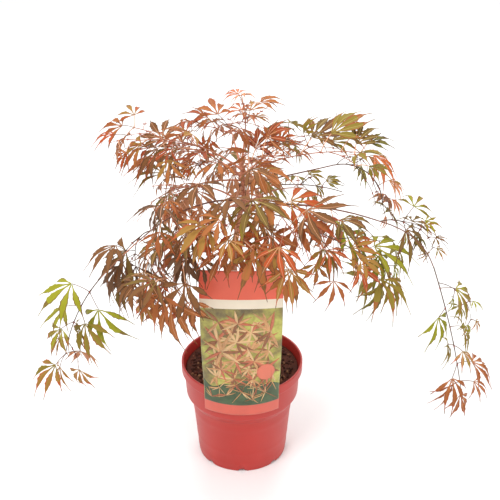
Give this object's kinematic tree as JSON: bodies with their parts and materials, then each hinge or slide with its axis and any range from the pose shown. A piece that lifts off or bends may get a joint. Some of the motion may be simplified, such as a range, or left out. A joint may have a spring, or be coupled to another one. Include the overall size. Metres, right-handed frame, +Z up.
{
  "type": "potted japanese maple",
  "caption": "Young weeping japanese maple with slender arching boughs and lobed autumn leaves, in a round plastic nursery pot with a picture card at its front.",
  "frame": {"origin": "centre of the pot's flat underside", "axes": "+Z up the trunk, the picture card faces -Y, +X to the right seen from the front"},
  "size_m": [0.4665, 0.3275, 0.4164],
  "materials": {
    "pot": "satin terracotta-red moulded plastic",
    "soil": "dark crumbly compost",
    "plant_label": "printed semi-gloss plastic card",
    "bark": "thin smooth young bark",
    "foliage": "thin matt leaves in autumn tints"
  },
  "bodies": {
    "root": {"pot": "pot", "soil": "soil", "plant_label": "plant_label", "trunk": "bark", "back_bough": "bark", "back_left_bough": "bark", "back_left_low_bough": "bark", "back_right_bough": "bark", "back_right_low_bough": "bark", "back_top_bough": "bark", "front_bough": "bark", "front_left_bough": "bark", "front_right_bough": "bark", "leader": "bark", "left_arm_bough": "bark", "left_arm_fall": "bark", "left_low_bough": "bark", "left_mid_bough": "bark", "left_top_bough": "bark", "right_arm_bough": "bark", "right_arm_fall": "bark", "right_front_bough": "bark", "right_low_bough": "bark", "right_mid_bough": "bark", "right_top_bough": "bark", "right_tuft_bough": "bark", "back_foliage": "foliage", "back_left_foliage": "foliage", "back_left_low_foliage": "foliage", "back_right_foliage": "foliage", "back_right_low_foliage": "foliage", "back_top_foliage": "foliage", "front_foliage": "foliage", "front_left_foliage": "foliage", "front_right_foliage": "foliage", "inner_back_foliage": "foliage", "inner_front_foliage": "foliage", "inner_left_foliage": "foliage", "inner_right_foliage": "foliage", "left_arm_foliage": "foliage", "left_arm_tip_foliage": "foliage", "left_low_foliage": "foliage", "left_mid_foliage": "foliage", "left_top_foliage": "foliage", "right_arm_foliage": "foliage", "right_arm_tip_foliage": "foliage", "right_front_foliage": "foliage", "right_low_foliage": "foliage", "right_mid_foliage": "foliage", "right_top_foliage": "foliage", "right_tuft_foliage": "foliage", "top_foliage": "foliage"}
  },
  "joints": []
}
